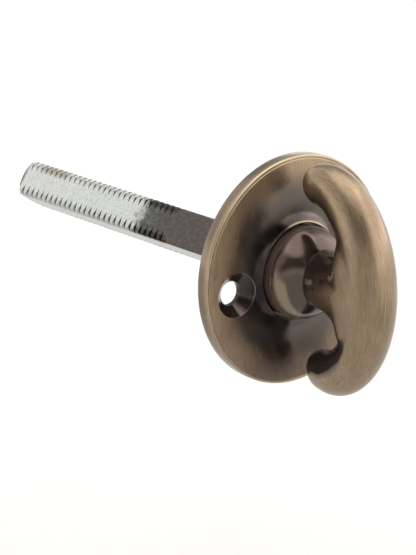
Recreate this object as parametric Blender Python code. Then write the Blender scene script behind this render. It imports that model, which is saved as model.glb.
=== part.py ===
"""Crescent thumb-turn on a round rose, with a square spindle threaded along its corners.

The origin is the centre of the rose's back face, on the turning axis. -Y is the room side, where the
grip is, +Y runs down the spindle into the door, and +Z is the grip's long axis. Lengths are in metres.
"""

import math

import bmesh
import bpy
from mathutils import Matrix, Vector

MM = 0.001
INCH = 0.0254
GAP = 0.3 * MM  # clearance between pieces that touch

# Rose: a round cast plate with a raised collar round the hub
ROSE_RADIUS = 1.625 * INCH / 2
RIM_HEIGHT = 2.4 * MM
RIM_ROUND = 0.3 * MM
COVE_RADIUS = 13.0 * MM  # where the flat face starts to sweep up
COVE_HEIGHT = 2.65 * MM
COLLAR_RADIUS = 9.25 * MM
COLLAR_HEIGHT = 3.4 * MM
COLLAR_LIP = 0.2 * MM
COVE_CURVE = 2.8  # power of the sweep from the flat face up to the collar
HUB_SEAT = 1.9 * MM  # depth left behind the hub, measured from the rose's back
COUNTERBORE_RADIUS = 9.6 * MM
COUNTERBORE_DEPTH = 1.0 * MM
SCREW_CIRCLE_RADIUS = 14.2 * MM
SCREW_ANGLE = math.radians(5)  # how far the rose has been turned on the door
SCREW_HEAD_RADIUS = 3.9 * MM
SCREW_HOLE_RADIUS = 2.15 * MM
SCREW_MOUTH = COVE_HEIGHT - 0.03 * MM  # where the countersink reaches its full width

# Grip: a crescent whose centre line is half an ellipse in the YZ plane
GRIP_REACH = 21.1 * MM  # centre line's front point, ahead of the rose's back
GRIP_BEND = 11.1 * MM  # how far the centre line sweeps back
GRIP_HALF_SPAN = 16.9 * MM
GRIP_SWEEP = math.radians(92.3)
GRIP_TIP = 4.1 * MM  # length of the rounded ends

# Stem and hub
STEM_WAIST = 5.3 * MM
STEM_HALF_WIDTH = 4.0 * MM
NOTCH_RADIUS = 4.7 * MM  # round notch between the stem and each arm
NOTCH_CENTRE = 11.1 * MM
WEB_REACH = 16.1 * MM  # back wall of the notch, where the web is tallest
WEB_HALF_HEIGHT = 12.2 * MM
STEM_END_HALF_HEIGHT = 8.0 * MM
STEM_END_HALF_WIDTH = 4.5 * MM
WEB_FULLNESS = 2.4  # 2 is an oval, more is squarer
HUB_RADIUS = 8.35 * MM
HUB_EDGE = 4.8 * MM
HUB_CROWN = 10.2 * MM
HUB_WALL_INSET = 0.2 * MM  # the side wall stands inside the dome's edge
HUB_DOME_START = math.radians(12)
HUB_DOME_END = math.radians(78)
HUB_DOME_CURVE = 0.8  # 1 is a round dome, less is fuller
SHANK_RADIUS = 6.6 * MM
SHANK_END = 4.8 * MM
SHANK_CHAMFER = 0.4 * MM

# Spindle
SPINDLE_HALF = 9 / 32 * INCH / 2
SPINDLE_CORNER = 4.72 * MM  # radius to the rounded corners
SPINDLE_CLOCK = math.radians(8.6)  # how far a corner stands round from the grip's long axis
SPINDLE_START = -3.7 * MM
SPINDLE_END = 76.9 * MM
SPINDLE_CHAMFER = 1.6 * MM  # length of the rounded end
SPINDLE_END_RADIUS = 3.2 * MM
THREAD_PITCH = INCH / 16
THREAD_START = 29.9 * MM
THREAD_CREST = 4.82 * MM
THREAD_ROOT = 3.85 * MM

# Retainers behind the rose
GROOVE_DEPTH = 0.65 * MM
RING_THICKNESS = 0.8 * MM
RING_FRONT = 0.1 * MM
RING_RADIUS = 8.2 * MM
RING_MOUTH = math.radians(50)
LUG_TURN = math.radians(5)  # each lug's centre past the end of the ring
LUG_INSET = 0.35 * MM
LUG_RADIUS = 1.35 * MM
LUG_HOLE_RADIUS = 0.6 * MM
WASHER_THICKNESS = 0.5 * MM
PIN_RADIUS = 0.95 * MM
PIN_POSITION = 2.9 * MM
PIN_SHORTFALL = 0.25 * MM  # how far each end stands inside the shank's surface

SEGMENTS = 80
GRIP_SIDES = 24
SHARP_ANGLE = math.radians(32)


def material(name, colour, roughness):
    """A metal finish."""
    finish = bpy.data.materials.new(name)
    finish.use_nodes = True
    shader = finish.node_tree.nodes["Principled BSDF"]
    shader.inputs["Base Color"].default_value = (*colour, 1.0)
    shader.inputs["Metallic"].default_value = 1.0
    shader.inputs["Roughness"].default_value = roughness
    return finish


def add_object(name, bm, finish=None):
    """The bmesh as an object, facing out and shaded smooth between its sharp edges."""
    bmesh.ops.recalc_face_normals(bm, faces=bm.faces)
    mesh = bpy.data.meshes.new(name)
    bm.to_mesh(mesh)
    bm.free()
    mesh.shade_smooth()
    mesh.set_sharp_from_angle(angle=SHARP_ANGLE)
    obj = bpy.data.objects.new(name, mesh)
    bpy.context.scene.collection.objects.link(obj)
    if finish:
        mesh.materials.append(finish)
    return obj


def turned(profile, segments=SEGMENTS, closed=True):
    """(radius, y) points turned about the Y axis: a closed outline, or an open one from axis to axis."""
    bm = bmesh.new()
    verts = [bm.verts.new((radius, y, 0)) for radius, y in profile]
    following = verts[1:] + verts[:1] if closed else verts[1:]
    edges = [bm.edges.new((a, b)) for a, b in zip(verts, following)]
    bmesh.ops.spin(
        bm,
        geom=verts + edges,
        cent=(0, 0, 0),
        axis=(0, 1, 0),
        angle=math.tau,
        steps=segments,
        use_merge=True,
    )
    bmesh.ops.remove_doubles(bm, verts=bm.verts, dist=1e-7)
    return bm


def lofted(rings):
    """Rings of points, all of one length, bridged in order and capped at both ends."""
    bm = bmesh.new()
    loops = [[bm.verts.new(point) for point in ring] for ring in rings]
    count = len(loops[0])
    for low, high in zip(loops, loops[1:]):
        for i in range(count):
            j = (i + 1) % count
            bm.faces.new((low[i], low[j], high[j], high[i]))
    bm.faces.new(loops[0])
    bm.faces.new(loops[-1])
    return bm


def arc(centre, radius, start, end, steps):
    """(radius, y) points round a centre, from one angle to the other in degrees."""
    angles = [math.radians(start + (end - start) * i / steps) for i in range(steps + 1)]
    return [(centre[0] + radius * math.cos(a), centre[1] + radius * math.sin(a)) for a in angles]


def about_axis(angle):
    """A turn about Y that takes +X towards +Z."""
    return Matrix.Rotation(-angle, 4, "Y")


def boolean(target, cutter, operation):
    """Cuts or joins one object with a guide object that isn't part of the model."""
    cutter.hide_render = True
    cutter.display_type = "WIRE"
    modifier = target.modifiers.new(cutter.name, "BOOLEAN")
    modifier.operation = operation
    modifier.solver = "EXACT"
    modifier.object = cutter


# ---------------------------------------------------------------- rose


def rose_profile():
    """From the back face round the rim, over the face and collar, and back through the bore."""
    rim = [(ROSE_RADIUS - RIM_ROUND, 0)]
    rim += arc((ROSE_RADIUS - RIM_ROUND, -RIM_ROUND), RIM_ROUND, 45, 0, 1)
    front = (ROSE_RADIUS - RIM_ROUND, -RIM_HEIGHT + RIM_ROUND)
    rim += arc(front, RIM_ROUND, 0, -75, 3)
    cove = []
    steps = 7
    for i in range(steps + 1):
        rise = i / steps
        radius = COVE_RADIUS + (COLLAR_RADIUS - COVE_RADIUS) * rise
        height = COVE_HEIGHT + (COLLAR_HEIGHT - COLLAR_LIP - COVE_HEIGHT) * rise**COVE_CURVE
        cove.append((radius, -height))
    recess = HUB_RADIUS + GAP
    bore = SHANK_RADIUS + GAP
    collar = [
        (COLLAR_RADIUS - COLLAR_LIP, -COLLAR_HEIGHT),
        (recess + COLLAR_LIP / 2, -COLLAR_HEIGHT),
        (recess, -COLLAR_HEIGHT + COLLAR_LIP),
        (recess, -HUB_SEAT),
        (bore, -HUB_SEAT),
        (bore, -COUNTERBORE_DEPTH),
        (COUNTERBORE_RADIUS, -COUNTERBORE_DEPTH),
        (COUNTERBORE_RADIUS, 0),
    ]
    return rim + cove + collar


def screw_hole_cutter():
    """A straight hole that opens into a countersink on the room side."""
    mouth = COVE_HEIGHT + MM
    slope = SCREW_HEAD_RADIUS - SCREW_HOLE_RADIUS
    profile = [
        (0, MM),
        (SCREW_HOLE_RADIUS, MM),
        (SCREW_HOLE_RADIUS, -SCREW_MOUTH + slope),
        (SCREW_HEAD_RADIUS, -SCREW_MOUTH),
        (SCREW_HEAD_RADIUS + mouth - SCREW_MOUTH, -mouth),
        (0, -mouth),
    ]
    return turned(profile, segments=32, closed=False)


def make_rose(finish):
    rose = add_object("rose", turned(rose_profile()), finish)
    for side, name in ((0, "screw_hole_right"), (math.pi, "screw_hole_left")):
        cutter = add_object(name, screw_hole_cutter())
        cutter.matrix_world = about_axis(SCREW_ANGLE + side) @ Matrix.Translation((SCREW_CIRCLE_RADIUS, 0, 0))
        boolean(rose, cutter, "DIFFERENCE")
    return rose


# ---------------------------------------------------------------- turn handle


def grip_half_thickness(s):
    """Half the grip's thickness in its own plane, at s from 0 in the middle to 1 at the arm's end."""
    return (4.1 + 1.2 * s**2 - 1.5 * s**4) * MM


def grip_half_width(s):
    """Half the grip's width across its plane."""
    return (4.75 - 2.15 * s**2 + 0.4 * s**4) * MM


def grip_station(theta):
    """Centre and tangent of the grip's centre line."""
    y = -(GRIP_REACH - GRIP_BEND * (1 - math.cos(theta)))
    z = GRIP_HALF_SPAN * math.sin(theta)
    tangent = Vector((0, GRIP_BEND * math.sin(theta), GRIP_HALF_SPAN * math.cos(theta)))
    return Vector((0, y, z)), tangent.normalized()


def grip_ring(centre, tangent, half_width, half_thickness):
    """One oval section, square to the centre line."""
    normal = Vector((0, tangent.z, -tangent.y))
    ring = []
    for i in range(GRIP_SIDES):
        a = math.tau * i / GRIP_SIDES
        ring.append(centre + Vector((half_width * math.cos(a), 0, 0)) + normal * half_thickness * math.sin(a))
    return ring


def grip_rings():
    """Sections from the lower tip to the upper tip."""
    stations = 36
    tip_steps = 5
    last_lean = math.radians(84)  # short of 90 degrees, which leaves each tip a small flat end
    rings = []
    for i in range(stations + 1):
        theta = GRIP_SWEEP * (2 * i / stations - 1)
        s = abs(theta) / GRIP_SWEEP
        centre, tangent = grip_station(theta)
        rings.append(grip_ring(centre, tangent, grip_half_width(s), grip_half_thickness(s)))
    upper, lower = [], []
    for i in range(1, tip_steps + 1):
        lean = last_lean * i / tip_steps
        size = math.cos(lean)
        for tip, sign in ((upper, 1), (lower, -1)):
            centre, tangent = grip_station(sign * GRIP_SWEEP)
            centre = centre + tangent * sign * GRIP_TIP * math.sin(lean)
            tip.append(grip_ring(centre, tangent, grip_half_width(1) * size, grip_half_thickness(1) * size))
    return lower[::-1] + rings + upper


def stem_sections():
    """(reach, half height, half width, fullness) from inside the hub, round the notch, into the grip."""
    oval = 2.0
    sections = [(HUB_EDGE, STEM_WAIST, STEM_HALF_WIDTH, oval)]
    steps = 9
    for i in range(steps + 1):
        a = math.radians(90) * i / steps
        reach = NOTCH_CENTRE + NOTCH_RADIUS * math.sin(a)
        half_height = STEM_WAIST + NOTCH_RADIUS * (1 - math.cos(a))
        sections.append((reach, half_height, STEM_HALF_WIDTH, oval + (WEB_FULLNESS - oval) * i / steps))
    sections.append((WEB_REACH, WEB_HALF_HEIGHT, STEM_HALF_WIDTH, WEB_FULLNESS))
    sections.append((WEB_REACH + 1.5 * MM, WEB_HALF_HEIGHT, STEM_HALF_WIDTH, WEB_FULLNESS))
    sections.append((GRIP_REACH, STEM_END_HALF_HEIGHT, STEM_END_HALF_WIDTH, WEB_FULLNESS))
    return sections


def stem_rings():
    """Full oval sections square to the turning axis."""
    rings = []
    for reach, half_height, half_width, fullness in stem_sections():
        ring = []
        for k in range(GRIP_SIDES):
            a = math.tau * k / GRIP_SIDES
            x = math.copysign(abs(math.cos(a)) ** (2 / fullness), math.cos(a))
            z = math.copysign(abs(math.sin(a)) ** (2 / fullness), math.sin(a))
            ring.append(Vector((half_width * x, -reach, half_height * z)))
        rings.append(ring)
    return rings


def hub_profile():
    """The domed hub, and the grooved shank that carries it through the rose."""
    dome = []
    steps = 8
    low = math.sin(HUB_DOME_START)
    high = math.sin(HUB_DOME_END)
    for i in range(steps + 1):
        a = HUB_DOME_START + (HUB_DOME_END - HUB_DOME_START) * i / steps
        radius = HUB_RADIUS * (math.cos(a) / math.cos(HUB_DOME_START)) ** HUB_DOME_CURVE
        rise = (math.sin(a) - low) / (high - low)
        dome.append((radius, -HUB_EDGE - (HUB_CROWN - HUB_EDGE) * rise))
    base = -(HUB_SEAT + GAP)
    groove_front = RING_FRONT - GAP
    groove_back = RING_FRONT + RING_THICKNESS + GAP
    groove = SHANK_RADIUS - GROOVE_DEPTH
    shank = [
        (HUB_RADIUS - HUB_WALL_INSET, -HUB_EDGE + 3 * HUB_WALL_INSET),
        (HUB_RADIUS - HUB_WALL_INSET, base),
        (SHANK_RADIUS, base),
        (SHANK_RADIUS, groove_front),
        (groove, groove_front),
        (groove, groove_back),
        (SHANK_RADIUS, groove_back),
        (SHANK_RADIUS, SHANK_END - SHANK_CHAMFER),
        (SHANK_RADIUS - SHANK_CHAMFER, SHANK_END),
        (0, SHANK_END),
    ]
    return [(0, -HUB_CROWN)] + dome[::-1] + shank


def make_handle(finish):
    handle = add_object("turn_handle", lofted(grip_rings()), finish)
    boolean(handle, add_object("stem", lofted(stem_rings())), "UNION")
    boolean(handle, add_object("hub", turned(hub_profile(), 64, closed=False)), "UNION")
    socket = add_object("spindle_socket", lofted(square_rings(GAP, [SPINDLE_START - GAP, SHANK_END + MM])))
    boolean(handle, socket, "DIFFERENCE")
    boolean(handle, pin_shape("pin_hole_in_shank", PIN_RADIUS + GAP, 2 * SHANK_RADIUS + MM), "DIFFERENCE")
    return handle


# ---------------------------------------------------------------- spindle


def square_ring(y, half, corner_radii, corner_steps=3):
    """A square section whose corners are cut back to the given radii, round where a radius is under half."""
    ring = []
    for k, radius in enumerate(corner_radii):
        edge = math.acos(min(half / radius, 1.0))
        middle = SPINDLE_CLOCK + k * math.tau / 4
        spread = math.radians(45) - edge
        for i in range(corner_steps + 1):
            a = middle - spread + 2 * spread * i / corner_steps
            ring.append(Vector((radius * math.cos(a), y, radius * math.sin(a))))
    return ring


def square_rings(offset, heights):
    """Plain square sections, grown by an offset all round."""
    corners = [SPINDLE_CORNER + offset] * 4
    return [square_ring(y, SPINDLE_HALF + offset, corners) for y in heights]


def thread_radius(y, corner):
    """Radius of a threaded corner: a right-hand ridge that climbs a quarter pitch from corner to corner."""
    turns = (y - THREAD_START) / THREAD_PITCH + corner / 4
    ridge = abs(2 * (turns % 1.0) - 1)
    full = THREAD_ROOT + (THREAD_CREST - THREAD_ROOT) * ridge
    fade = min((y - THREAD_START) / THREAD_PITCH, 1.0)
    return SPINDLE_CORNER + (full - SPINDLE_CORNER) * fade


def end_radius(y):
    """The radius that the rounded end leaves at y."""
    along = max((y - (SPINDLE_END - SPINDLE_CHAMFER)) / SPINDLE_CHAMFER, 0.0)
    return THREAD_CREST - (THREAD_CREST - SPINDLE_END_RADIUS) * along**2


def make_spindle(finish):
    rings = square_rings(0, [SPINDLE_START, 6 * MM, 18 * MM, THREAD_START])
    step = THREAD_PITCH / 4
    count = int((SPINDLE_END - THREAD_START) / step)
    for y in [THREAD_START + i * step for i in range(1, count + 1)] + [SPINDLE_END]:
        limit = end_radius(y)
        rings.append(square_ring(y, SPINDLE_HALF, [min(thread_radius(y, k), limit) for k in range(4)]))
    spindle = add_object("spindle", lofted(rings), finish)
    boolean(spindle, pin_shape("pin_hole_in_spindle", PIN_RADIUS + GAP, 4 * SPINDLE_HALF), "DIFFERENCE")
    return spindle


# ---------------------------------------------------------------- retainers


def pin_shape(name, radius, length, finish=None):
    """A round bar through the shank, square to two faces of the spindle."""
    bm = bmesh.new()
    bmesh.ops.create_cone(bm, cap_ends=True, segments=20, radius1=radius, radius2=radius, depth=length)
    lie_down = Matrix.Rotation(math.radians(90), 4, "Y")
    across = about_axis(SPINDLE_CLOCK + math.radians(45))
    bm.transform(Matrix.Translation((0, PIN_POSITION, 0)) @ across @ lie_down)
    return add_object(name, bm, finish)


def make_pin(finish):
    return pin_shape("spindle_pin", PIN_RADIUS, 2 * (SHANK_RADIUS - PIN_SHORTFALL), finish)


def make_washer(finish):
    inner = SHANK_RADIUS + GAP
    outer = COUNTERBORE_RADIUS - GAP
    front = -COUNTERBORE_DEPTH + GAP
    back = front + WASHER_THICKNESS
    ring = [(inner, back), (outer, back), (outer, front), (inner, front)]
    return add_object("thrust_washer", turned(ring, 64), finish)


def ring_outline():
    """The open ring seen along its axis: the outer arc, then the inner arc back."""
    inner = SHANK_RADIUS - GROOVE_DEPTH + GAP
    half_mouth = RING_MOUTH / 2
    steps = 40
    outer_points, inner_points = [], []
    for i in range(steps + 1):
        a = half_mouth + (math.tau - RING_MOUTH) * i / steps
        outer_points.append((RING_RADIUS * math.cos(a), RING_RADIUS * math.sin(a)))
        inner_points.append((inner * math.cos(a), inner * math.sin(a)))
    return outer_points + inner_points[::-1]


def prism(points, low, high):
    """A flat outline in X and Z, pulled along Y from low to high."""
    bm = bmesh.new()
    face = bm.faces.new([bm.verts.new((x, low, z)) for x, z in points])
    moved = bmesh.ops.extrude_face_region(bm, geom=[face])
    top = [item for item in moved["geom"] if isinstance(item, bmesh.types.BMVert)]
    bmesh.ops.translate(bm, verts=top, vec=(0, high - low, 0))
    return bm


def round_outline(centre, radius, count):
    """A circle of points about a centre in X and Z."""
    angles = [math.tau * i / count for i in range(count)]
    return [(centre[0] + radius * math.cos(a), centre[1] + radius * math.sin(a)) for a in angles]


def make_ring(finish):
    """Snap ring in the shank's groove, with a drilled lug at each end for its pliers."""
    low = RING_FRONT
    high = RING_FRONT + RING_THICKNESS
    ring = add_object("retaining_ring", prism(ring_outline(), low, high), finish)
    for sign, side in ((1, "a"), (-1, "b")):
        a = sign * (RING_MOUTH / 2 + LUG_TURN)
        reach = RING_RADIUS - LUG_INSET
        centre = (reach * math.cos(a), reach * math.sin(a))
        lug = add_object(f"ring_lug_{side}", prism(round_outline(centre, LUG_RADIUS, 20), low, high))
        boolean(ring, lug, "UNION")
        hole = round_outline(centre, LUG_HOLE_RADIUS, 12)
        boolean(ring, add_object(f"lug_hole_{side}", prism(hole, low - MM, high + MM)), "DIFFERENCE")
    return ring


def main():
    for obj in list(bpy.data.objects):
        bpy.data.objects.remove(obj)
    bronze = material("antique_brass", (0.33, 0.245, 0.145), 0.34)
    zinc = material("zinc_plated_steel", (0.72, 0.73, 0.70), 0.38)
    spring = material("spring_steel", (0.20, 0.20, 0.21), 0.35)
    washer = material("brass_washer", (0.60, 0.47, 0.24), 0.38)
    pin = material("steel_pin", (0.55, 0.55, 0.54), 0.32)
    make_rose(bronze)
    make_washer(washer)
    axis = bpy.data.objects.new("turning_axis", None)
    bpy.context.scene.collection.objects.link(axis)
    for piece in (make_handle(bronze), make_spindle(zinc), make_ring(spring), make_pin(pin)):
        piece.parent = axis


main()
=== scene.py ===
"""Looks of a crescent thumb-turn: brushed antique brass, polished recesses and a zinc-plated spindle.

The frame is the CAD's, in metres: the turning axis is Y, the grip is on the -Y side and runs along Z.
"""

import math

import bmesh
import bpy
import numpy as np
from mathutils import Matrix, Vector


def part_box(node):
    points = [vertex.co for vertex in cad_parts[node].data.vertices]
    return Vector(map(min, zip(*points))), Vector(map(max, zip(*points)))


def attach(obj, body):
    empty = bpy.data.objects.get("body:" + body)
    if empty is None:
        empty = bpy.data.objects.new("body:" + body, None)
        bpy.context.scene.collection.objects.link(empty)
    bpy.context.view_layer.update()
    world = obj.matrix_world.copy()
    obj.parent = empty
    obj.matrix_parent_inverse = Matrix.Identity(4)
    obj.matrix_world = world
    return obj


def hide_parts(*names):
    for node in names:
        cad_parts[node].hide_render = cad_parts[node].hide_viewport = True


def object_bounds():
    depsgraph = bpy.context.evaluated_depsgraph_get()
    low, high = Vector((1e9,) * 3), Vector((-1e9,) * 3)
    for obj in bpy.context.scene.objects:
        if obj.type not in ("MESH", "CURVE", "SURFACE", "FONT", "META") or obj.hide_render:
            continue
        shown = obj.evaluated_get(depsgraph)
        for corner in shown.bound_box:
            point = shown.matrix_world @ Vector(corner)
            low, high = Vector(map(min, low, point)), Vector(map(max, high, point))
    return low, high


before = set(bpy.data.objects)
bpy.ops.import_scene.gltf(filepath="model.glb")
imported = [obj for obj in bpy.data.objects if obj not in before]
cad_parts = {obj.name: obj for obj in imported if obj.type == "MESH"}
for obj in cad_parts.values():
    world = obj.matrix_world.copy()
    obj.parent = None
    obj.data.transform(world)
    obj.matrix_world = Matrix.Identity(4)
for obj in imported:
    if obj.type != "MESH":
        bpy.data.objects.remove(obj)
cad_low, cad_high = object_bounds()

MM = 0.001
INCH = 25.4 * MM

# ---------------------------------------------------------------- sizes, some from the CAD's boxes

rose_low, rose_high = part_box("rose")
spindle_low, spindle_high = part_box("spindle")
ring_low, ring_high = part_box("retaining_ring")
washer_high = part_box("thrust_washer")[1]
turn_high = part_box("turn_handle")[1]

GAP = 0.3 * MM

ROSE_RADIUS = rose_high.x
RIM_HEIGHT = 2.4 * MM
BACK_EDGE = 0.2 * MM
FRONT_EDGE = 0.28 * MM
BEAD_WIDTH = 0.62 * MM  # from the rim to the middle of the fine groove turned inside it
GROOVE_WIDTH = 0.32 * MM
GROOVE_DEPTH = 0.07 * MM
COVE_RADIUS = 13.0 * MM
COVE_HEIGHT = 2.65 * MM
COVE_CURVE = 2.8
COLLAR_RADIUS = 9.25 * MM
COLLAR_HEIGHT = -rose_low.y
COLLAR_DROP = 0.2 * MM
COLLAR_LIP = 0.14 * MM
HUB_SEAT = 1.9 * MM
BORE_CHAMFER = 0.15 * MM
STEP_CHAMFER = 0.1 * MM
COUNTERBORE_RADIUS = washer_high.x + GAP
COUNTERBORE_DEPTH = 1.0 * MM
SCREW_CIRCLE_RADIUS = 14.2 * MM
SCREW_ANGLES = (math.radians(5), math.radians(185))
SCREW_HEAD_RADIUS = 3.9 * MM
SCREW_HOLE_RADIUS = 2.15 * MM
# The countersink's eased edge: outside the head's radius, and behind the face.
HOLE_EASE = (
    (0.45 * MM, -0.6 * MM),
    (0.13 * MM, -0.02 * MM),
    (0.07 * MM, 0.0),
    (0.02 * MM, 0.05 * MM),
    (0.0, 0.13 * MM),
)

HUB_RADIUS = 8.35 * MM
HUB_EDGE = 4.8 * MM
HUB_CROWN = 10.2 * MM
HUB_DOME_CURVE = 0.8
HUB_DOME_START = math.radians(12)
HUB_DOME_TOP = math.radians(78)  # where the dome reaches its crown
HUB_DOME_END = math.radians(84)
HUB_WALL_INSET = 0.2 * MM
# The hub's eased edge: outside its radius, and behind its edge.
HUB_EASE = (
    (0.01 * MM, 0.12 * MM),
    (-0.05 * MM, 0.3 * MM),
    (-HUB_WALL_INSET, 0.6 * MM),
)
SHANK_RADIUS = 6.6 * MM
RING_GROOVE_DEPTH = 0.65 * MM
# The shank's eased end: inside its radius, and short of its end.
SHANK_EASE = (
    (0.0, 0.45 * MM),
    (0.1 * MM, 0.2 * MM),
    (0.4 * MM, 0.0),
)

GRIP_REACH = 21.1 * MM
GRIP_BEND = 11.1 * MM
GRIP_HALF_SPAN = 16.9 * MM
GRIP_SWEEP = math.radians(92.3)
GRIP_TIP = 4.1 * MM
GRIP_TIP_LEAN = math.radians(88)
# Half sizes of the grip's section: a + b s^2 + c s^4, s from 0 in the middle to 1 where the tip starts.
GRIP_THICKNESS = (4.1 * MM, 1.2 * MM, -1.5 * MM)
GRIP_WIDTH = (4.75 * MM, -2.15 * MM, 0.4 * MM)
STEM_WAIST = 5.3 * MM
STEM_HALF_WIDTH = 4.9 * MM
STEM_FLARE = 0.7 * MM
STEM_FLARE_LEFT = 0.4  # share of the flare that is left just before the notches
STEM_FLARE_END = 1.5 * MM  # before the notches' centre
NOTCH_RISE = 4.9 * MM
NOTCH_LENGTH = 6.3 * MM
NOTCH_CENTRE = 9.9 * MM
WEB_REACH = 16.5 * MM
WEB_HALF_HEIGHT = 12.2 * MM
WEB_FULLNESS = 2.4  # 2 is an oval section, more is squarer
WEB_IN_GRIP_FULLNESS = 3.0
# Where the web goes on inside the grip: reach, half height, and how much narrower than the stem.
WEB_IN_GRIP = (
    (WEB_REACH + 1.5 * MM, WEB_HALF_HEIGHT, 0.05 * MM),
    (GRIP_REACH - 1.2 * MM, 11 * MM, 0.1 * MM),
    (GRIP_REACH, 9 * MM, 0.2 * MM),
)
VOXEL = 0.22 * MM
ROUNDS_PER_NORMAL = 10
BLEND_DEPTH = 12.5 * MM
BLEND_DEPTH_FADE = 2 * MM
BLEND_HEIGHT = 13.0 * MM
BLEND_HEIGHT_FADE = 3 * MM

SPINDLE_HALF = 9 / 32 * INCH / 2
SPINDLE_CORNER = 4.72 * MM
SPINDLE_CLOCK = math.radians(8.6)
SPINDLE_PLAIN_LENGTH = 24 * MM
SPINDLE_END_ROUND = 1.7 * MM
SPINDLE_END_RADIUS = 3.15 * MM
SPINDLE_END_CURVE = 2.2
THREAD_PITCH = INCH / 16
THREAD_START = 28.6 * MM
THREAD_CREST = 4.82 * MM
THREAD_ROOT = 3.85 * MM
# Shares of half a pitch that the root's flat and the slope take.
THREAD_ROOT_SHARE = 0.06
THREAD_SLOPE_SHARE = 0.52
RINGS_PER_PITCH = 14

# ---------------------------------------------------------------- mesh helpers


def mesh_object(name, bm, sharp_angle=32):
    """The bmesh as an object, facing out and smooth between its sharp edges."""
    bmesh.ops.recalc_face_normals(bm, faces=bm.faces)
    mesh = bpy.data.meshes.new(name)
    bm.to_mesh(mesh)
    bm.free()
    obj = bpy.data.objects.new(name, mesh)
    bpy.context.scene.collection.objects.link(obj)
    smooth_between_edges(obj, sharp_angle)
    return obj


def smooth_between_edges(obj, sharp_angle):
    """Smooth shading, except over edges sharper than an angle in degrees."""
    obj.data.shade_smooth()
    obj.data.set_sharp_from_angle(angle=math.radians(sharp_angle))


def turned(profile, segments, closed=True):
    """An outline of (radius, y) points turned about the Y axis."""
    bm = bmesh.new()
    verts = [bm.verts.new((radius, y, 0)) for radius, y in profile]
    pairs = zip(verts, verts[1:] + verts[:1]) if closed else zip(verts, verts[1:])
    edges = [bm.edges.new(pair) for pair in pairs]
    bmesh.ops.spin(
        bm,
        geom=verts + edges,
        cent=(0, 0, 0),
        axis=(0, 1, 0),
        angle=math.tau,
        steps=segments,
        use_merge=True,
    )
    bmesh.ops.remove_doubles(bm, verts=bm.verts, dist=1e-7)
    return bm


def lofted(rings):
    """Rings of points bridged in order and capped at both ends."""
    bm = bmesh.new()
    loops = [[bm.verts.new(point) for point in ring] for ring in rings]
    count = len(loops[0])
    for low, high in zip(loops, loops[1:]):
        for i in range(count):
            j = (i + 1) % count
            bm.faces.new((low[i], low[j], high[j], high[i]))
    bm.faces.new(loops[0])
    bm.faces.new(loops[-1])
    return bm


def round_corner(corner, radius, start, end, steps):
    """(radius, y) points of a small fillet about a centre, angles in degrees."""
    angles = [math.radians(start + (end - start) * i / steps) for i in range(steps + 1)]
    return [(corner[0] + radius * math.cos(a), corner[1] + radius * math.sin(a)) for a in angles]


def full_circle(sides):
    """Evenly spaced angles, once round."""
    return [math.tau * i / sides for i in range(sides)]


def share(value):
    """A value held between none and all."""
    return min(max(value, 0.0), 1.0)


def about_axis(angle):
    """A turn about Y that takes +X towards +Z."""
    return Matrix.Rotation(-angle, 4, "Y")


def apply_modifiers(obj):
    """Bakes an object's modifiers into its mesh."""
    bpy.context.view_layer.update()
    graph = bpy.context.evaluated_depsgraph_get()
    mesh = bpy.data.meshes.new_from_object(obj.evaluated_get(graph))
    obj.modifiers.clear()
    obj.data = mesh


def boolean(target, cutter, operation):
    """Joins or cuts, then throws the cutter away."""
    modifier = target.modifiers.new("boolean", "BOOLEAN")
    modifier.operation = operation
    modifier.solver = "EXACT"
    modifier.object = cutter
    apply_modifiers(target)
    bpy.data.objects.remove(cutter)


def take_finish(obj, material):
    """The material as the object's only one."""
    obj.data.materials.clear()
    obj.data.materials.append(material)


# ---------------------------------------------------------------- node helpers


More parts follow.
